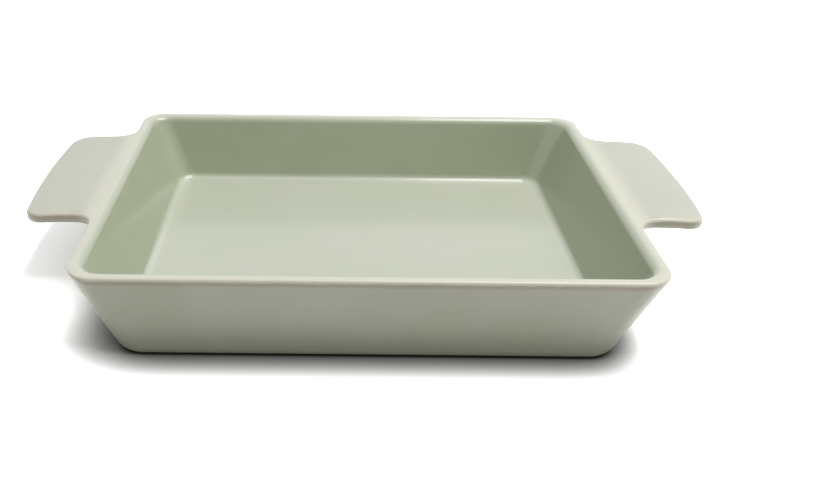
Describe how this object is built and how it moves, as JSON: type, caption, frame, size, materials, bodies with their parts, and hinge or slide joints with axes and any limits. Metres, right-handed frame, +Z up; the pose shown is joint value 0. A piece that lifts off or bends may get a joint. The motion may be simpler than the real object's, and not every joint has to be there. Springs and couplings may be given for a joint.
{
  "type": "lasagna dish",
  "caption": "Rectangular glazed stoneware baking dish with flared walls, a rounded rim and a flat lug handle at each end.",
  "frame": {"origin": "middle of the overall box's base: the centre of the footprint, on the surface that the foot ring stands on", "axes": "+X along the length, from handle to handle; +Y from the front, as pictured, to the back; +Z up"},
  "size_m": [0.422, 0.241, 0.057],
  "materials": {
    "fired_clay": "unglazed, fine matt clay",
    "liner_glaze_coat": "glossy sage green glaze, cream where it runs thin on the rim",
    "outer_glaze_coat": "satin grey-green glaze, cream and brown where it breaks over the edges",
    "base_glaze_coat": "thin satin grey-green glaze"
  },
  "bodies": {
    "root": {"stoneware_body": "fired_clay", "liner_glaze": "liner_glaze_coat", "outer_glaze": "outer_glaze_coat", "base_glaze": "base_glaze_coat"}
  },
  "joints": []
}
